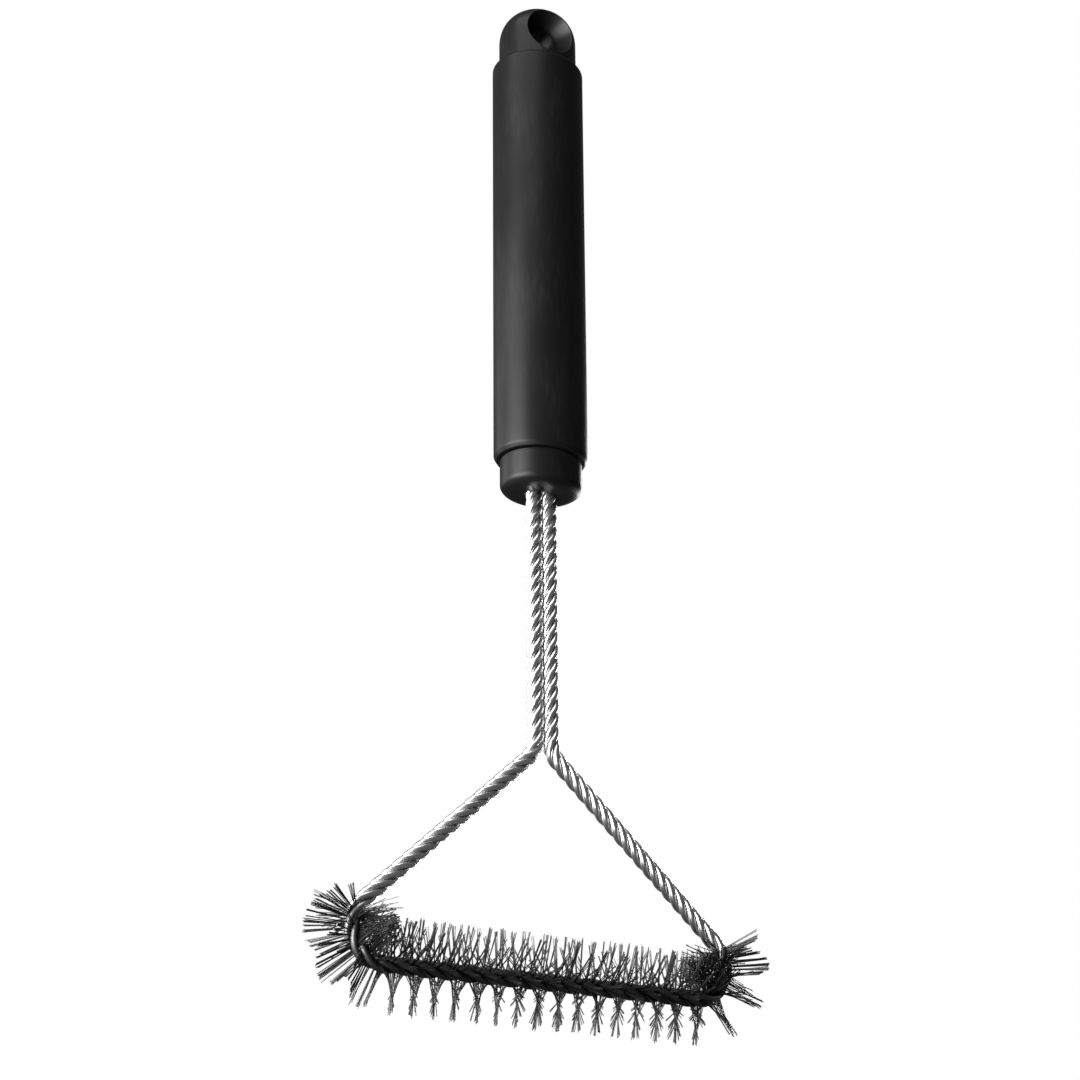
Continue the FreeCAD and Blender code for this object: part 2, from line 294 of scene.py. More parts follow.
class Tree:
    """A node tree in the making: add() makes any node and gives its first output as a Value."""

    def __init__(self, tree):
        self.tree = tree

    def add(self, kind, settings=None, inputs=None):
        node = self.tree.nodes.new(kind)
        for name, value in (settings or {}).items():
            if name == "stops":
                self.set_stops(node.color_ramp, value)
            else:
                setattr(node, name, value)
        for name, value in (inputs or {}).items():
            self.feed(self.find(node.inputs, name), value)
        outputs = [socket for socket in node.outputs if socket.enabled]
        return Value(self, outputs[0]) if outputs else None

    @staticmethod
    def find(sockets, name):
        if isinstance(name, int):
            return sockets[name]
        return next(socket for socket in sockets if socket.enabled and socket.name == name)

    def feed(self, socket, value):
        if isinstance(value, Value):
            self.tree.links.new(value.socket, socket)
        else:
            socket.default_value = value

    @staticmethod
    def set_stops(ramp, stops):
        while len(ramp.elements) < len(stops):
            ramp.elements.new(1.0)
        for element, (position, tone) in zip(ramp.elements, stops):
            element.position = position
            element.color = (tone, tone, tone, 1.0)

    def math(self, operation, *values):
        return self.add("ShaderNodeMath", {"operation": operation}, dict(enumerate(values)))

    def vector(self, x, y, z):
        return self.add("ShaderNodeCombineXYZ", {}, {"X": x, "Y": y, "Z": z})

    def vector_math(self, operation, *values, **named):
        inputs = dict(enumerate(values))
        inputs.update((name.title(), value) for name, value in named.items())
        return self.add("ShaderNodeVectorMath", {"operation": operation}, inputs)

    def attribute(self, name):
        return self.add("ShaderNodeAttribute", {"attribute_name": name})

    def noise(self, place, scale, detail=2.0):
        return self.add("ShaderNodeTexNoise", {}, {"Vector": place, "Scale": scale, "Detail": detail})

    def ramp(self, value, low, high):
        """Nothing below low, one above high and a straight rise between them."""
        return self.add("ShaderNodeValToRGB", {"stops": ((low, 0.0), (high, 1.0))}, {"Fac": value})

    def mix(self, share_of_b, a, b):
        return self.add("ShaderNodeMix", {"data_type": "RGBA"}, {
            "Factor": share_of_b, "A": a, "B": b})

    def bump(self, height, distance, strength):
        return self.add("ShaderNodeBump", {}, {
            "Height": height, "Distance": distance, "Strength": strength})


SOCKET_TYPES = {"FLOAT": "NodeSocketFloat", "INT": "NodeSocketInt"}
STRAND_INPUTS = ("Corner end", "Strand")


class ShapeTree(Tree):
    """A Geometry Nodes tree with a named input for each number of some groups, and for its strand."""

    def __init__(self, name, *groups):
        super().__init__(bpy.data.node_groups.new(name, "GeometryNodeTree"))
        sockets = self.tree.interface
        sockets.new_socket(name="Geometry", in_out="OUTPUT", socket_type="NodeSocketGeometry")
        sockets.new_socket(name="Geometry", in_out="INPUT", socket_type="NodeSocketGeometry")
        sockets.new_socket(name="Material", in_out="INPUT", socket_type="NodeSocketMaterial")
        self.values = {}
        for group in groups:
            for item in group.bl_rna.properties:
                if item.type in SOCKET_TYPES:
                    self.declare(item.name, item.type, getattr(group, item.identifier))
        for label in STRAND_INPUTS:
            self.declare(label, "FLOAT", 0.0)
        self.entry = self.tree.nodes.new("NodeGroupInput")

    def declare(self, label, kind, value):
        self.tree.interface.new_socket(name=label, in_out="INPUT", socket_type=SOCKET_TYPES[kind])
        self.values[label] = value

    def __getitem__(self, label):
        return Value(self, self.entry.outputs[label])

    def random(self, low, high, channel, **seeded):
        return self.add("FunctionNodeRandomValue", {"data_type": "FLOAT"}, {
            "Min": low, "Max": high, "Seed": self["Seed"] + channel, **seeded})

    def store(self, geometry, name, value, kind="FLOAT"):
        return self.add("GeometryNodeStoreNamedAttribute", {"data_type": kind}, {
            "Geometry": geometry, "Name": name, "Value": value})

    def stored(self, name, kind="FLOAT"):
        return self.add("GeometryNodeInputNamedAttribute", {"data_type": kind}, {"Name": name})

    def end(self, geometry):
        """Ends the tree in Realize Instances and Set Material."""
        real = self.add("GeometryNodeRealizeInstances", {}, {"Geometry": geometry})
        smooth = self.add("GeometryNodeSetShadeSmooth", {}, {"Geometry": real})
        done = self.add("GeometryNodeSetMaterial", {}, {
            "Geometry": smooth, "Material": self["Material"]})
        leave = self.tree.nodes.new("NodeGroupOutput")
        self.tree.links.new(done.socket, leave.inputs["Geometry"])

    def grow(self, name, source, material, **changed):
        """Runs the tree on a source object and gives the result as a plain mesh object."""
        modifier = source.modifiers.new("Shape", "NODES")
        modifier.node_group = self.tree
        values = {**self.values, "Material": material, **changed}
        for item in self.tree.interface.items_tree:
            if item.in_out == "INPUT" and item.name in values:
                modifier[item.identifier] = values[item.name]
        shown = source.evaluated_get(bpy.context.evaluated_depsgraph_get())
        mesh = bpy.data.meshes.new_from_object(shown)
        source.modifiers.remove(modifier)
        return put_in_scene(name, mesh)


# Making meshes -------------------------------------------------------------------------------

def put_in_scene(name, data):
    data.name = name
    piece = bpy.data.objects.new(name, data)
    bpy.context.scene.collection.objects.link(piece)
    return piece


def hand_over(piece, nodes):
    """Fixes a finished piece to the part's body, in place of the CAD nodes that it stands for."""
    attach(piece, BODY)
    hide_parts(*nodes)


class Skin:
    """A mesh sewn together from rings of equally many points."""

    def __init__(self):
        self.mesh = bmesh.new()

    def sew(self, rings, closed=False):
        rows = [[self.mesh.verts.new(point) for point in ring] for ring in rings]
        if closed:
            rows.append(rows[0])
        for row, following in zip(rows, rows[1:]):
            for i in range(len(row)):
                j = (i + 1) % len(row)
                self.mesh.faces.new((row[i], row[j], following[j], following[i]))

    def finish(self, name, material):
        bmesh.ops.remove_doubles(self.mesh, verts=self.mesh.verts, dist=MERGE_DISTANCE)
        bmesh.ops.dissolve_degenerate(self.mesh, edges=self.mesh.edges, dist=SLIVER)
        bmesh.ops.recalc_face_normals(self.mesh, faces=self.mesh.faces)
        mesh = bpy.data.meshes.new(name)
        self.mesh.to_mesh(mesh)
        self.mesh.free()
        mesh.shade_smooth()
        mesh.set_sharp_from_angle(angle=CREASE)
        mesh.materials.append(material)
        return put_in_scene(name, mesh)


def oval_ring(half_width, oval, z):
    turns = [2 * math.pi * i / RING_POINTS for i in range(RING_POINTS)]
    return [(half_width * math.cos(t), half_width * oval * math.sin(t), z) for t in turns]


def slot_ring(radius, half_spacing, oval, z):
    """A ring shaped like two overlapping circles' hull, in step with the oval rings."""
    ring = []
    for i in range(RING_POINTS):
        turn = 2 * math.pi * i / RING_POINTS
        across, deep = math.cos(turn), oval * math.sin(turn)
        size = math.hypot(across, deep)
        across, deep = across / size, deep / size
        reach = radius / max(abs(deep), 1e-9)
        if reach * abs(across) > half_spacing:
            reach = half_spacing * abs(across) + math.sqrt(radius ** 2 - (half_spacing * deep) ** 2)
        ring.append((reach * across, reach * deep, z))
    return ring


def steps(start, end, count):
    """Evenly spaced values from start to end, with both."""
    return [start + (end - start) * i / count for i in range(count + 1)]


def rounded(corners):
    """A closed outline with an arc at each corner, given as (x, z, arc radius)."""
    outline = []
    before, after = corners[-1:] + corners[:-1], corners[1:] + corners[:1]
    for last, (x, z, radius), following in zip(before, corners, after):
        corner = Vector((x, z))
        back = (Vector(last[:2]) - corner).normalized()
        on = (Vector(following[:2]) - corner).normalized()
        half = back.angle(on) / 2
        centre = corner + (back + on).normalized() * radius / math.sin(half)
        start = corner + back * radius / math.tan(half) - centre
        end = corner + on * radius / math.tan(half) - centre
        for i in range(ARC_STEPS + 1):
            outline.append(centre + start.slerp(end, i / ARC_STEPS).normalized() * radius)
    return outline


def held(outline):
    """The outline with its long runs divided, so that shading stays flat along them."""
    points = []
    for i, point in enumerate(outline):
        run = outline[(i + 1) % len(outline)] - point
        count = max(1, math.ceil(run.length / LONGEST_RUN))
        points += [point + run * k / count for k in range(count)]
    return points


# Finishes ------------------------------------------------------------------------------------

class FinishTree(Tree):
    """A material in the making, with the place on the object that its patterns read."""

    def __init__(self, name):
        self.material = bpy.data.materials.new(name)
        self.material.use_nodes = True
        super().__init__(self.material.node_tree)
        self.shader = next(node for node in self.tree.nodes if node.type == "BSDF_PRINCIPLED")
        self.place = self.add("ShaderNodeTexCoord").other("Object")

    def shade(self, **looks):
        """Sets or links the shader's own sockets by name and gives the finished material."""
        for label, value in looks.items():
            self.feed(self.shader.inputs[label.replace("_", " ")], value)
        return self.material


def grey(tone, factor):
    return tuple(channel * factor for channel in tone) + (1.0,)


def moulded_plastic(finishes):
    """Satin black plastic with the fine grain of a sparked mould and a little handling wear."""
    tree = FinishTree("Moulded plastic")
    grain = tree.noise(tree.place, 2600.0, 3.0)
    flow = tree.noise(tree.vector_math("MULTIPLY", tree.place, (1.0, 1.0, 0.35)), 90.0, 3.0)
    scuffs = tree.noise(tree.vector_math("MULTIPLY", tree.place, (1.0, 1.0, 0.12)), 1400.0)
    wear = tree.ramp(flow * 0.6 + scuffs * 0.5, 0.55, 0.8)
    tone = finishes.plastic
    return tree.shade(
        Base_Color=tree.mix(wear, grey(tone, 0.8), grey(tone, 1.9)),
        Specular_IOR_Level=0.15,
        Roughness=flow * 0.16 + grain * 0.08 + (finishes.plastic_roughness - 0.12),
        Normal=tree.bump(grain + flow * 0.5, 0.02 * MM, 0.5))


def drawn_wire(finishes):
    """Bright drawn wire: fine lines along each strand, soot blotches, painted shade greying the grooves
    and painted shade darkening it in the brush.
    """
    tree = FinishTree("Drawn wire")
    along = tree.attribute("wire_place").other("Vector")
    groove = tree.attribute("groove").other("Fac")
    in_brush = tree.attribute("in_brush").other("Fac")
    lines = tree.noise(tree.vector_math("MULTIPLY", along, (1.0, 1.0, 0.02)), 5000.0, 3.0)
    blotches = tree.noise(tree.place, 160.0, 3.0)
    # Painted shade greys the sides of each wire that face into the rope; the blotches add soot.
    groove_shade_and_soot = tree.ramp(groove * 0.8 + blotches * 0.35, 0.35, 0.95)
    # Painted shade: the wire is darkened under the bristles and in its grooves, together with the soot
    # blotches.
    painted_shade_and_soot = (in_brush * 0.95 + groove_shade_and_soot * 0.55).clamped()
    tone = finishes.wire
    bright = tree.mix(lines, grey(tone, 0.85), grey(tone, 1.15))
    return tree.shade(
        Base_Color=tree.mix(painted_shade_and_soot, bright, grey(tone, 0.09)),
        Metallic=1.0,
        Roughness=lines * 0.14 + painted_shade_and_soot * 0.2 + 0.2,
        Normal=tree.bump(lines, 0.01 * MM, 0.6))


def bristle_steel(finishes):
    """Dark hard-drawn steel: each bristle has its own shade, and painted light pales it towards its tip.
    """
    tree = FinishTree("Bristle steel")
    shade = tree.attribute("shade").other("Fac")
    # Painted light: each bristle is paler towards its tip and darker at its crowded roots.
    tip = tree.ramp(tree.attribute("along").other("Fac"), 0.3, 1.0)
    tone = finishes.bristle
    own = tree.mix(shade, grey(tone, 0.6), grey(tone, 1.5))
    return tree.shade(
        Base_Color=tree.mix(tip * 0.6, own, grey(tone, 2.2)),
        Metallic=1.0,
        Roughness=shade * 0.2 + 0.3,
        Normal=tree.bump(tree.noise(tree.place, 6000.0), 0.01 * MM, 0.4))


def core_plastic(finishes):
    """Unpigmented structural plastic of the insert, slightly mottled."""
    tree = FinishTree("Core plastic")
    mottle = tree.noise(tree.place, 220.0, 4.0)
    return tree.shade(
        Base_Color=tree.mix(mottle, grey(finishes.core, 0.8), grey(finishes.core, 1.15)),
        Specular_IOR_Level=0.4,
        Roughness=mottle * 0.15 + 0.5,
        Normal=tree.bump(tree.noise(tree.place, 1800.0, 3.0), 0.02 * MM, 0.4))


def plated_steel(finishes):
    """Zinc plate with its soft crystalline blotches."""
    tree = FinishTree("Plated steel")
    spangle = tree.add("ShaderNodeTexVoronoi", {}, {"Vector": tree.place, "Scale": 700.0})
    return tree.shade(
        Base_Color=tree.mix(0.15, grey(finishes.crimp, 1.0), spangle.other("Color")),
        Metallic=1.0,
        Roughness=tree.noise(tree.place, 500.0) * 0.25 + 0.25,
        Normal=tree.bump(tree.noise(tree.place, 900.0), 0.02 * MM, 0.3))


FINISH_MAKERS = {
    "Moulded plastic": moulded_plastic,
    "Drawn wire": drawn_wire,
    "Bristle steel": bristle_steel,
    "Core plastic": core_plastic,
    "Plated steel": plated_steel,
}


def finish(name, context):
    """The named material, made the first time that a piece asks for it."""
    return bpy.data.materials.get(name) or FINISH_MAKERS[name](context.scene.grill_brush.finishes)


# Rope and bristles ---------------------------------------------------------------------------

def rope_route(rope):
    """The rope's line as an object: its straight runs, with the bend of each corner as its radius."""
    half = rope.rope_spacing / 2
    side = [(half, rope.rope_end, 0.0), (half, rope.apex_height, rope.apex_radius),
            (rope.corner_reach, rope.bar_height, rope.corner_radius)]
    corners = [(-x, z, bend) for x, z, bend in side] + side[::-1]
    curve = bpy.data.curves.new("Rope route", "CURVE")
    curve.dimensions = "3D"
    spline = curve.splines.new("POLY")
    spline.points.add(len(corners) - 1)
    for point, (x, z, bend) in zip(spline.points, corners):
        point.co = (x, 0.0, z, 1.0)
        point.radius = bend
    return put_in_scene("Rope route", curve)


def corner_end(rope):
    """From the middle of the bar along the rope to where the straight arm begins."""
    rise, run = rope.apex_height - rope.bar_height, rope.corner_reach - rope.rope_spacing / 2
    turn = math.pi - math.atan2(rise, run)
    bar_half = rope.corner_reach - rope.corner_radius * math.tan(turn / 2)
    return bar_half + rope.corner_radius * turn


def bent_route(tree, spacing):
    """The route with its bends rounded, as evenly spaced points."""
    bent = tree.add("GeometryNodeFilletCurve", {"mode": "POLY"}, {
        "Curve": tree["Geometry"], "Count": BEND_POINTS, "Radius": tree.add("GeometryNodeInputRadius")})
    plain = tree.add("GeometryNodeSetCurveRadius", {}, {"Curve": bent, "Radius": 1.0})
    return tree.add("GeometryNodeResampleCurve", {"mode": "LENGTH"}, {
        "Curve": plain, "Length": spacing})


def soft_ramp(tree, x):
    """x where it is positive and nothing where it is negative, blended about zero."""
    return (x + (x * x + tree["Lead blend"] * tree["Lead blend"]).math("SQRT")) / 2


def twist(tree, station):
    """Turn of a wire about the rope, at a station measured from the middle of the bar."""
    end = tree["Corner end"] + tree["Lead change"]
    slow = soft_ramp(tree, station + end) - soft_ramp(tree, station - end) - end
    turns = slow / tree["Brush lead"] + (station - slow) / tree["Bare lead"]
    return tree["Start turn"] + (turns + tree["Strand"]) * (2 * math.pi)


def outward(tree, tangent, turn, lean=None):
    """Unit vector square to the rope at that turn, or leaning along it."""
    x, z = tangent.part("X"), tangent.part("Z")
    cosine, sine = turn.math("COSINE"), turn.math("SINE")
    if lean is None:
        return tree.vector(-z * cosine, -sine, x * cosine)
    square, slide = lean.math("COSINE"), lean.math("SINE")
    return tree.vector(x * slide - z * cosine * square,
                       -sine * square,
                       z * slide + x * cosine * square)


def wire_tree(rope):
    """One wire of the rope: a tube that winds round the route, marked for its finish."""
    tree = ShapeTree("Twisted wire", rope)
    route = bent_route(tree, WIRE_STEP)
    whole = tree.add("GeometryNodeCurveLength", {}, {"Curve": route})
    station = tree.add("GeometryNodeSplineParameter").other("Length") - whole / 2
    out = outward(tree, tree.add("GeometryNodeInputTangent"), twist(tree, station))
    marked = tree.store(route, "station", station)
    marked = tree.store(marked, "out", out, "FLOAT_VECTOR")
    offset = tree.vector_math("SCALE", out, scale=tree["Helix radius"])
    helix = tree.add("GeometryNodeSetPosition", {}, {"Geometry": marked, "Offset": offset})
    circle = tree.add("GeometryNodeCurvePrimitiveCircle", {}, {
        "Resolution": WIRE_SIDES, "Radius": tree["Wire radius"]})
    profile = tree.store(circle, "profile", tree.add("GeometryNodeInputPosition"), "FLOAT_VECTOR")
    tube = tree.add("GeometryNodeCurveToMesh", {}, {
        "Curve": helix, "Profile Curve": profile, "Fill Caps": True})
    rim, reached = tree.stored("profile", "FLOAT_VECTOR"), tree.stored("station")
    place = tree.vector(rim.part("X"), rim.part("Y"), reached)
    normal = tree.add("GeometryNodeInputNormal")
    faced = tree.vector_math("DOT_PRODUCT", normal, tree.stored("out", "FLOAT_VECTOR")).other("Value")
    within = tree["Corner end"] - reached.math("ABSOLUTE")
    # Mark for painted shade: the sides of the wire that face into the rope.
    tube = tree.store(tube, "groove", 0.5 - faced * 0.5)
    # Mark for painted shade: the stretch under the bristles, fading out before each corner's end.
    tube = tree.store(tube, "in_brush", (within / BRUSH_SHADE_FADE).clamped())
    tube = tree.store(tube, "wire_place", place, "FLOAT_VECTOR")
    tree.end(tube)
    return tree


def bristle_tree(rope, bristles):
    """One row of bristles, planted in a groove of the rope in tufts that stray a little."""
    tree = ShapeTree("Bristle row", rope, bristles)
    route = bent_route(tree, ROW_STEP)
    whole = tree.add("GeometryNodeCurveLength", {}, {"Curve": route})
    half = tree["Corner end"] - tree["Shortfall"]
    tufts = (half * tree["Tufts per metre"] * 2).math("ROUND")
    points = tree.add("GeometryNodePoints", {}, {"Count": tufts * tree["Tuft"]})
    tuft = (tree.add("GeometryNodeInputIndex") / tree["Tuft"]).math("FLOOR")
    step = (tuft + tree.random(0.0, 1.0, 1, ID=tuft)) / tufts
    place = step * 2 - 1
    crowded = place * ((1 - place * place) * tree["Crowding"] + 1)
    station = crowded * half + tree.random(-0.5, 0.5, 11) * tree["Thickness"]
    on_route = tree.add("GeometryNodeSampleCurve", {"mode": "LENGTH"}, {
        "Curves": route, "Length": station + whole / 2})
    tangent = on_route.other("Tangent")
    stray = tree.random(-1.0, 1.0, 2, ID=tuft)
    slide = tree.random(-1.0, 1.0, 3, ID=tuft)
    own = twist(tree, station)
    at_corner = ((place.math("ABSOLUTE") - RUFFLE_START) * RUFFLE_RISE).clamped()
    loose = tree["Fan"] + own.math("COSINE").clamped() * at_corner * tree["Ruffle"]
    turn = own + stray * stray * stray * tree["Spread"] + tree.random(-1.0, 1.0, 4) * loose
    lean = slide * slide * slide * tree["Lean"] + tree.random(-1.0, 1.0, 5) * loose
    way = outward(tree, tangent, turn, lean)
    root = tree.vector_math("SCALE", way, scale=tree["Root"])
    foot = tree.vector_math("ADD", on_route.other("Position"), root)
    rows = tree.add("GeometryNodeSetPosition", {}, {"Geometry": points, "Position": foot})
    rows = tree.store(rows, "shade", tree.random(0.0, 0.5, 6) + tree.random(0.0, 0.5, 12, ID=tuft))
    aside = [tree.random(-1.0, 1.0, channel) * tree["Bend"] for channel in (7, 8, 9)]
    rows = tree.store(rows, "aside", tree.vector(*aside), "FLOAT_VECTOR")
    turned = tree.add("FunctionNodeAxesToRotation", {"primary_axis": "Z", "secondary_axis": "X"}, {
        "Primary Axis": way, "Secondary Axis": tangent})
    thick = tree["Thickness"] / 2
    long = (tree["Reach"] - tree["Root"]) * tree.random(tree["Trim"], 1.0, 10)
    planted = tree.add("GeometryNodeInstanceOnPoints", {}, {
        "Points": rows, "Instance": one_bristle(tree), "Rotation": turned,
        "Scale": tree.vector(thick, thick, long)})
    real = tree.add("GeometryNodeRealizeInstances", {}, {"Geometry": planted})
    along = tree.stored("along")
    bent = tree.vector_math("SCALE", tree.stored("aside", "FLOAT_VECTOR"), scale=along * along)
    tree.end(tree.add("GeometryNodeSetPosition", {}, {"Geometry": real, "Offset": bent}))
    return tree


def one_bristle(tree):
    """A bristle of unit length and radius along Z, with its share of the length stored."""
    line = tree.add("GeometryNodeCurvePrimitiveLine", {}, {"Start": (0, 0, 0), "End": (0, 0, 1)})
    line = tree.add("GeometryNodeResampleCurve", {"mode": "COUNT"}, {
        "Curve": line, "Count": BRISTLE_POINTS})
    profile = tree.add("GeometryNodeCurvePrimitiveCircle", {}, {
        "Resolution": BRISTLE_SIDES, "Radius": 1.0})
    rod = tree.add("GeometryNodeCurveToMesh", {}, {
        "Curve": line, "Profile Curve": profile, "Fill Caps": True})
    return tree.store(rod, "along", tree.add("GeometryNodeInputPosition").part("Z"))


# Handle --------------------------------------------------------------------------------------

def high_of(node):
    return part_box(node)[1][2]


def low_of(node):
    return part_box(node)[0][2]


def plug_half_width(handle):
    """Half width of the plugs that hold the cap and the collar in the grip."""
    return handle.grip_half_bottom - handle.grip_wall - handle.gap


def smooth_least(a, b, blend):
    """The lesser of two values, rounded off where they meet."""
    near = max(blend - abs(a - b), 0.0) / blend
    return min(a, b) - near * near * blend / 4


class CapShape:
    """Face of the hang cap: half its depth at any point, with the dish sunk round the hole."""

    def __init__(self, handle, bottom, top):
        self.width = handle.cap_half_width
        self.depth = handle.cap_half_depth
        self.fullness = handle.dome_fullness
        self.bottom = bottom
        self.dome_base = top - handle.dome_height
        self.dome_height = handle.dome_height
        self.handle = handle
        self.steepness = (self.depth - handle.hole_wall / 2) / (handle.dish_mouth - handle.dish_floor)

    def face(self, x, z):
        rise = min(max(z - self.dome_base, 0.0) / self.dome_height, 1.0)
        girth = (1 - rise ** self.fullness) ** (1 / self.fullness)
        return self.depth * math.sqrt(max(girth ** 2 - (x / self.width) ** 2, 0.0))

    def dish(self, radius):
        return self.handle.hole_wall / 2 + (radius - self.handle.dish_floor) * self.steepness

    def outline(self):
        """The cap's silhouette: along its bottom, up one side, over the dome and down the other."""
        turns = [math.pi * (i / CAP_BOTTOM_STEPS - 0.5) for i in range(CAP_BOTTOM_STEPS)]
        bottom = [(self.width * math.sin(t), self.bottom) for t in turns]
        rise = steps(self.bottom, self.dome_base, CAP_SIDE_STEPS)[:-1]
        right = [(self.width, z) for z in rise]
        exponent = 2 / self.fullness
        dome = [(self.width * math.cos(t) ** exponent,
                 self.dome_base + self.dome_height * math.sin(t) ** exponent)
                for t in steps(0.0, math.pi / 2, CAP_DOME_STEPS)]
        dome[-1] = (0.0, self.dome_base + self.dome_height)
        dome += [(-x, z) for x, z in dome[-2::-1]]
        left = [(-self.width, z) for z in rise[:0:-1]]
        return bottom, right + dome + left

    def lip(self, x, z):
        """How far from the hole's axis the dish breaks out of the face, on the way to (x, z)."""
        size = math.hypot(x, z)
        near, far = self.handle.dish_floor, size
        for _ in range(BISECTIONS):
            middle = (near + far) / 2
            if self.dish(middle) < self.face(x * middle / size, z * middle / size):
                near = middle
            else:
                far = middle
        return near

    def ray(self, x, z):
        """Points from the hole's edge out to (x, z) on the outline, as (x, depth, z)."""
        size, lip = math.hypot(x, z), self.lip(x, z)
        hole, floor = self.handle.hole_radius, self.handle.dish_floor
        inside, outside = lip - LIP_BAND, lip + LIP_BAND
        points = []
        for way in steps(0.0, 1.0, CAP_RAY_STEPS["roll"]):
            radius = hole + (floor - hole) * way ** 2
            points.append((radius, self.dish(radius) - HOLE_ROLL * (1 - way) ** 2))
        radii = steps(floor, inside, CAP_RAY_STEPS["dish"])[1:]
        radii += steps(inside, outside, CAP_RAY_STEPS["lip"])[1:]
        radii += [outside + (size - outside) * math.sin(turn)
                  for turn in steps(0.0, math.pi / 2, CAP_RAY_STEPS["face"])[1:]]
        for radius in radii:
            face = self.face(x * radius / size, z * radius / size)
            points.append((radius, smooth_least(face, self.dish(radius), LIP_BLEND)))
        points[-1] = (size, self.face(x, z))
        return [(x * radius / size, depth, z * radius / size) for radius, depth in points]


def build_cap(handle, material):
    low, grip_top = low_of("hang_cap"), high_of("grip_sleeve")
    shape = CapShape(handle, grip_top, high_of("hang_cap"))
    bottom, rest = shape.outline()
    rays = [shape.ray(x, z) for x, z in bottom + rest]
    skin = Skin()
    for side in (-1, 1):
        skin.sew([[(x, side * depth, z) for x, depth, z in ring] for ring in zip(*rays)])
    skin.sew([[(ray[0][0], side * ray[0][1], ray[0][2]) for ray in rays] for side in (-1, 1)])
    foot = [(x / shape.width, -shape.face(x, z) / shape.depth) for x, z in bottom]
    foot += [(-x, -y) for x, y in foot]
    plug, plug_floor = plug_half_width(handle), grip_top - PLUG_FLOOR
    plug_rings = [(plug, grip_top), (plug, low + PLUG_TAPER[1]), (plug - PLUG_TAPER[0], low),
                  (plug - PLUG_WALL, low), (plug - PLUG_WALL, plug_floor), (0.0, plug_floor)]
    sections = [(shape.width, shape.depth, grip_top)]
    sections += [(half, half * handle.oval, z) for half, z in plug_rings]
    skin.sew([[(x * half, y * deep, z) for x, y in foot] for half, deep, z in sections])
    return skin.finish("hang_cap_shell", material)


def build_grip(handle, material):
    low, high = low_of("grip_sleeve"), high_of("grip_sleeve")
    top, bottom = handle.grip_half_top, handle.grip_half_bottom
    bore = bottom - handle.grip_wall
    corners = [
        (bore, high, GRIP_INNER_ARC),
        (bore, low, GRIP_INNER_ARC),
        (bottom - handle.grip_inset, low, GRIP_OUTER_ARC),
        (bottom, low + handle.grip_edge, GRIP_BEVEL_ARC),
        (top, high - handle.grip_edge, GRIP_BEVEL_ARC),
        (top - handle.grip_inset, high, GRIP_OUTER_ARC),
    ]
    skin = Skin()
    outline = held(rounded(corners))
    skin.sew([oval_ring(x, handle.oval, z) for x, z in outline], closed=True)
    return skin.finish("grip_shell", material)


def build_collar(handle, rope, material):
    low, high = low_of("neck_collar"), high_of("neck_collar")
    seat = low_of("grip_sleeve")
    plug, collar = plug_half_width(handle), handle.collar_half_width
    outer = [(plug - COLLAR_TAPER[0], high), (plug, high - COLLAR_TAPER[1]),
             (plug, seat + COLLAR_SEAT), (plug, seat)]
    outer += [(collar - inset, seat - drop) for inset, drop in SHOULDER]
    outer.append((collar, low + handle.nose_height + NOSE_BAND))
    for turn in steps(0.0, math.pi / 2, NOSE_STEPS):
        outer.append((collar - handle.nose_inset * (1 - math.cos(turn)),
                      low + handle.nose_height * (1 - math.sin(turn))))
    outer.append((collar - handle.nose_inset - NOSE_BAND, low))
    rings = [oval_ring(half, handle.oval, z) for half, z in outer]
    radius = rope.helix_radius + rope.wire_radius + SLOT_CLEARANCE
    half_spacing = rope.rope_spacing / 2
    rings.append(slot_ring(radius + 2 * SLOT_EDGE, half_spacing, handle.oval, low))
    for turn in steps(0.0, math.pi / 2, SLOT_EDGE_STEPS):
        rings.append(slot_ring(radius + SLOT_EDGE * (1 - math.sin(turn)), half_spacing, handle.oval,
                               low + SLOT_EDGE * (1 - math.cos(turn))))
    rings.append(slot_ring(radius, half_spacing, handle.oval, high))
    skin = Skin()
    skin.sew(rings, closed=True)
    return skin.finish("neck_collar_shell", material)


# Operators -----------------------------------------------------------------------------------

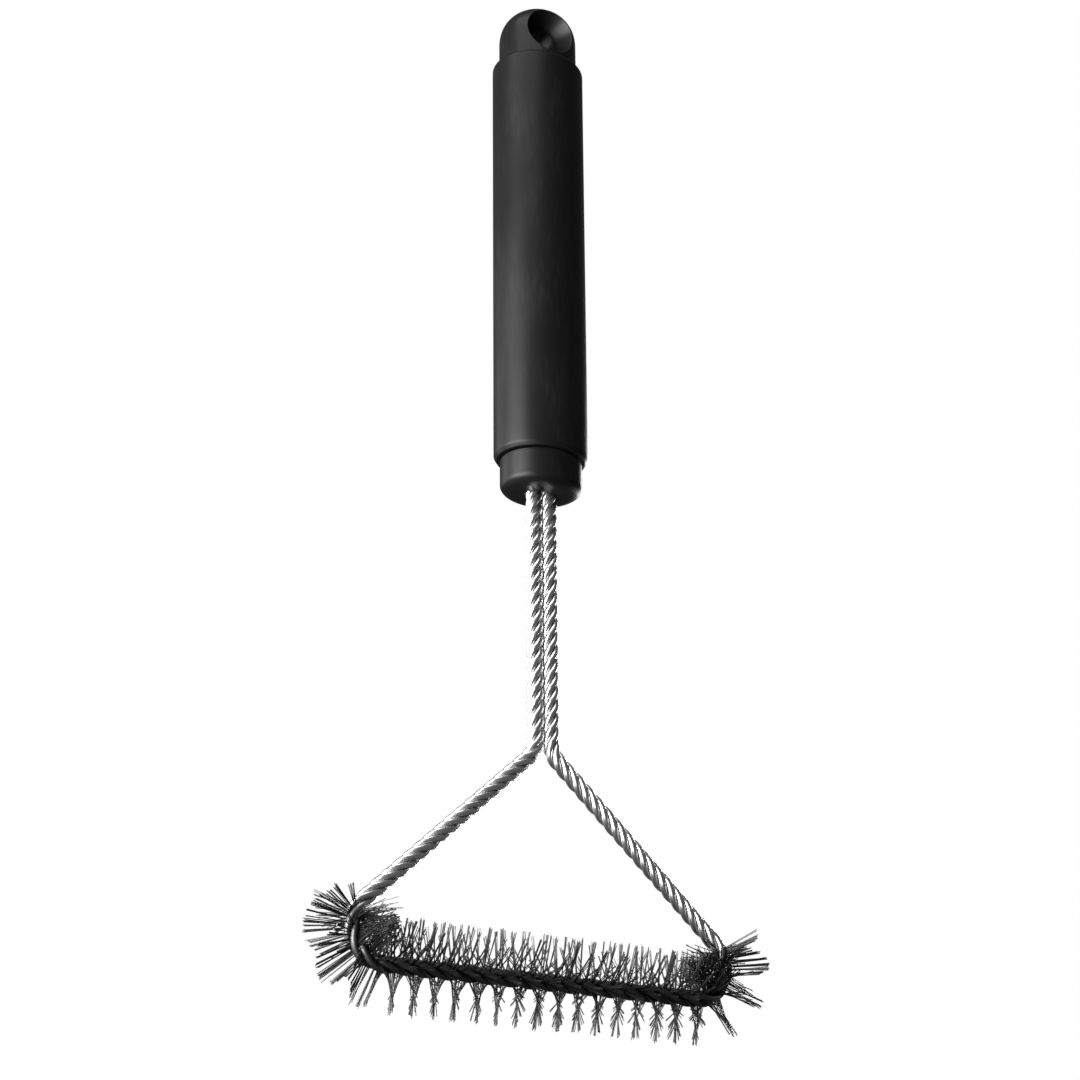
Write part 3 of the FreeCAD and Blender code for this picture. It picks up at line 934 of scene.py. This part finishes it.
class GRILLBRUSH_OT_stage(bpy.types.Operator):
    """Set up the camera, the pale floor and the soft studio light"""
    bl_idname = "grillbrush.stage"
    bl_label = "Stage"

    def execute(self, context):
        stage = context.scene.grill_brush.stage
        self.add_camera(context.scene, stage)
        self.add_floor(stage)
        self.add_surround(context.scene, stage)
        for name, (direction, distance, size, setting) in LIGHTS.items():
            self.add_light(name, Vector(stage.target), direction, distance, size, getattr(stage, setting))
        context.scene.view_settings.view_transform = "Standard"
        return {"FINISHED"}

    @staticmethod
    def away(bearing, height):
        """Unit vector from the brush at a bearing, counted from its front (-Y), and a height angle."""
        return Vector((math.sin(bearing) * math.cos(height), -math.cos(bearing) * math.cos(height),
                       math.sin(height)))

    def add_camera(self, scene, stage):
        back = self.away(stage.azimuth, stage.elevation)
        camera = put_in_scene("Camera", bpy.data.cameras.new("Camera"))
        camera.data.lens = stage.lens
        camera.location = Vector(stage.target) + back * stage.distance
        camera.rotation_mode = "QUATERNION"
        aim = (-back).to_track_quat("-Z", "Y")
        camera.rotation_quaternion = aim @ Matrix.Rotation(stage.roll, 3, "Z").to_quaternion()
        scene.camera = camera

    def add_light(self, name, target, direction, distance, size, watts):
        light = bpy.data.lights.new(name, "AREA")
        light.shape = "RECTANGLE"
        light.size, light.size_y = size
        light.energy = watts
        towards = self.away(*map(math.radians, direction))
        holder = put_in_scene(name, light)
        holder.location = target + towards * distance
        holder.visible_camera = False
        holder.rotation_mode = "QUATERNION"
        holder.rotation_quaternion = (-towards).to_track_quat("-Z", "Y")

    @staticmethod
    def add_floor(stage):
        mesh = bpy.data.meshes.new("Floor")
        corners = [(-FLOOR_HALF, -FLOOR_HALF), (FLOOR_HALF, -FLOOR_HALF),
                   (FLOOR_HALF, FLOOR_HALF), (-FLOOR_HALF, FLOOR_HALF)]
        mesh.from_pydata([(x, y, -stage.floor_drop) for x, y in corners], [], [(0, 1, 2, 3)])
        tree = FinishTree("Pale floor")
        pale = tree.mix(tree.noise(tree.place, 4.0), grey(WHITE[:3], 0.8), grey(WHITE[:3], 0.84))
        mesh.materials.append(tree.shade(
            Base_Color=pale, Roughness=0.9, Emission_Color=pale, Emission_Strength=0.6))
        floor = put_in_scene("Floor", mesh)
        floor.visible_diffuse = False
        floor.visible_glossy = False

    @staticmethod
    def add_surround(scene, stage):
        """White to the eye, but only a weak even light on the brush."""
        world = bpy.data.worlds.new("Studio")
        world.use_nodes = True
        scene.world = world
        tree = Tree(world.node_tree)
        seen = tree.add("ShaderNodeLightPath")
        background = next(node for node in world.node_tree.nodes if node.type == "BACKGROUND")
        background.inputs["Color"].default_value = WHITE
        tree.feed(background.inputs["Strength"], seen * (1 - stage.fill) + stage.fill)


class GRILLBRUSH_OT_cap(bpy.types.Operator):
    """Build the domed end cap with its dished hang hole"""
    bl_idname = "grillbrush.cap"
    bl_label = "Hang cap"

    def execute(self, context):
        brush = context.scene.grill_brush
        piece = build_cap(brush.handle, finish("Moulded plastic", context))
        hand_over(piece, ["hang_cap"])
        return {"FINISHED"}


class GRILLBRUSH_OT_grip(bpy.types.Operator):
    """Build the long oval grip"""
    bl_idname = "grillbrush.grip"
    bl_label = "Grip"

    def execute(self, context):
        brush = context.scene.grill_brush
        piece = build_grip(brush.handle, finish("Moulded plastic", context))
        hand_over(piece, ["grip_sleeve"])
        return {"FINISHED"}


class GRILLBRUSH_OT_collar(bpy.types.Operator):
    """Build the neck collar that the two ropes leave by"""
    bl_idname = "grillbrush.collar"
    bl_label = "Neck collar"

    def execute(self, context):
        brush = context.scene.grill_brush
        piece = build_collar(brush.handle, brush.rope, finish("Moulded plastic", context))
        hand_over(piece, ["neck_collar"])
        return {"FINISHED"}


class GRILLBRUSH_OT_inside(bpy.types.Operator):
    """Finish the clamping insert and the crimp sleeve inside the grip"""
    bl_idname = "grillbrush.inside"
    bl_label = "Insert and crimp"

    def execute(self, context):
        finishes = {"core_front_half": "Core plastic", "core_rear_half": "Core plastic",
                    "crimp_sleeve": "Plated steel"}
        for node, name in finishes.items():
            for slot in NODES[node].material_slots:
                slot.material = finish(name, context)
        return {"FINISHED"}


class GRILLBRUSH_OT_wires(bpy.types.Operator):
    """Twist the wires of the rope along the frame of the brush"""
    bl_idname = "grillbrush.wires"
    bl_label = "Twisted wires"

    def execute(self, context):
        brush = context.scene.grill_brush
        route = rope_route(brush.rope)
        tree = wire_tree(brush.rope)
        for number in range(brush.rope.wire_count):
            name = f"wire_{number + 1}"
            piece = tree.grow(f"{name}_strand", route, finish("Drawn wire", context), **{
                "Corner end": corner_end(brush.rope), "Strand": number / brush.rope.wire_count})
            hand_over(piece, nodes_of(name))
        bpy.data.objects.remove(route)
        return {"FINISHED"}


class GRILLBRUSH_OT_bristles(bpy.types.Operator):
    """Plant a helical row of bristles in each groove of the rope"""
    bl_idname = "grillbrush.bristles"
    bl_label = "Bristles"

    def execute(self, context):
        brush = context.scene.grill_brush
        route = rope_route(brush.rope)
        tree = bristle_tree(brush.rope, brush.bristles)
        for number in range(brush.rope.wire_count):
            name = f"bristle_row_{number + 1}"
            piece = tree.grow(f"{name}_bristles", route, finish("Bristle steel", context), **{
                "Corner end": corner_end(brush.rope),
                "Strand": (number + 0.5) / brush.rope.wire_count,
                "Seed": brush.bristles.seed + 100 * number})
            hand_over(piece, nodes_of(name))
        bpy.data.objects.remove(route)
        return {"FINISHED"}


def nodes_of(name):
    return [node for node in NODES if node.startswith(name + "_")]


OPERATORS = (
    GRILLBRUSH_OT_stage,
    GRILLBRUSH_OT_cap,
    GRILLBRUSH_OT_grip,
    GRILLBRUSH_OT_collar,
    GRILLBRUSH_OT_inside,
    GRILLBRUSH_OT_wires,
    GRILLBRUSH_OT_bristles,
)


class GRILLBRUSH_PT_panel(bpy.types.Panel):
    bl_label = "Grill Cleaning Brush"
    bl_space_type = "VIEW_3D"
    bl_region_type = "UI"
    bl_category = "Grill Brush"

    def draw(self, context):
        brush = context.scene.grill_brush
        for operator in OPERATORS:
            self.layout.operator(operator.bl_idname)
        for name, group in SETTINGS.items():
            box = self.layout.box()
            box.label(text=name.title())
            for key in group.__annotations__:
                box.prop(getattr(brush, name), key)


CLASSES = (*SETTINGS.values(), GrillBrush, *OPERATORS, GRILLBRUSH_PT_panel)


def register():
    for cls in CLASSES:
        bpy.utils.register_class(cls)
    bpy.types.Scene.grill_brush = PointerProperty(type=GrillBrush)


def unregister():
    del bpy.types.Scene.grill_brush
    for cls in reversed(CLASSES):
        bpy.utils.unregister_class(cls)


def main():
    register()
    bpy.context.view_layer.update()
    for operator in OPERATORS:
        getattr(bpy.ops.grillbrush, operator.bl_idname.split(".")[1])()


if __name__ == "__main__":
    main()
